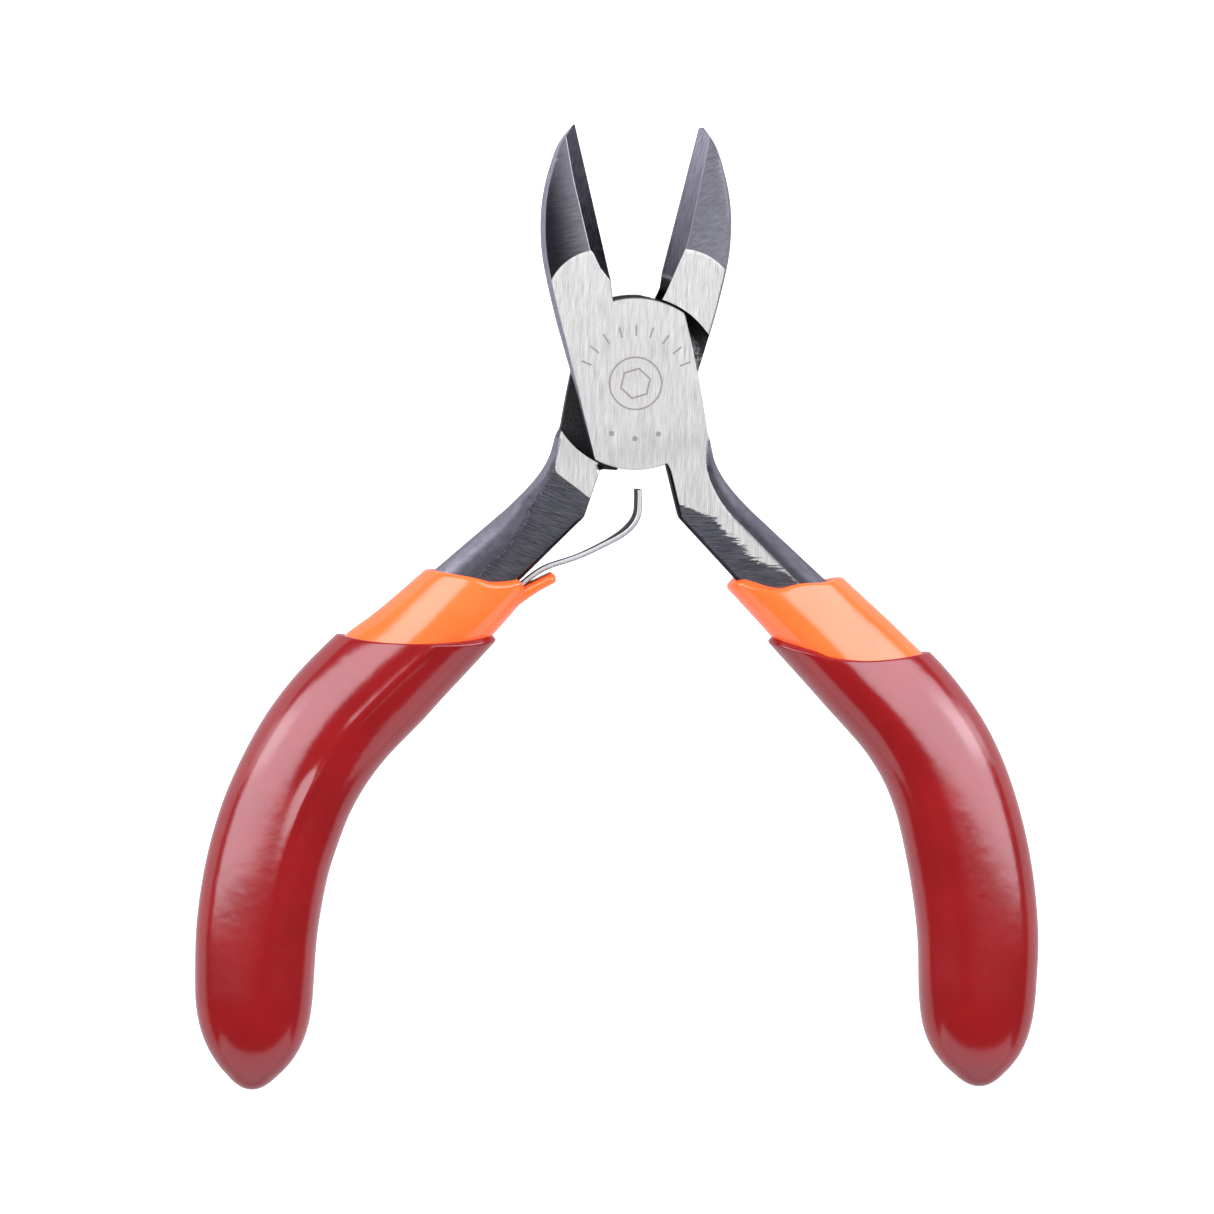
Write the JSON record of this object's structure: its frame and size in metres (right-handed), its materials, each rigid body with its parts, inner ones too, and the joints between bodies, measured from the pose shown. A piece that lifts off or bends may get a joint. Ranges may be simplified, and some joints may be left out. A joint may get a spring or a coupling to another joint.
{
  "type": "diagonal cutting pliers",
  "caption": "Small diagonal cutting pliers with a riveted lap joint, leaf return spring and two-colour dipped grips.",
  "frame": {"origin": "on the pivot axis, in the back face of the joint", "axes": "+Z along the pivot axis, out of the front face; +Y towards the jaws, midway between the two levers"},
  "size_m": [0.0939, 0.108, 0.0104],
  "materials": {
    "forged_steel": "ground bright on the head and joint, dark blued and belt-ground on the jaws and tangs",
    "rivet_steel": "ground flush with the joint faces",
    "spring_steel": "bright nickel-plated strip",
    "orange_dip": "glossy soft PVC dip",
    "red_dip": "glossy soft PVC dip, dark red"
  },
  "bodies": {
    "rear_half": {"rear_lever": "forged_steel", "pivot_rivet": "rivet_steel", "return_spring": "spring_steel", "left_inner_sleeve": "orange_dip", "left_outer_grip": "red_dip"},
    "front_half": {"front_lever": "forged_steel", "right_inner_sleeve": "orange_dip", "right_outer_grip": "red_dip"}
  },
  "joints": [
    {"name": "jaw_pivot", "type": "hinge", "parent": "rear_half", "child": "front_half", "pos_m": [0, 0, 0], "axis": [0, 0, 1], "range_deg": [-27, 20], "stiffness_Nm_per_rad": 0.5, "deforming": ["return_spring"]}
  ]
}
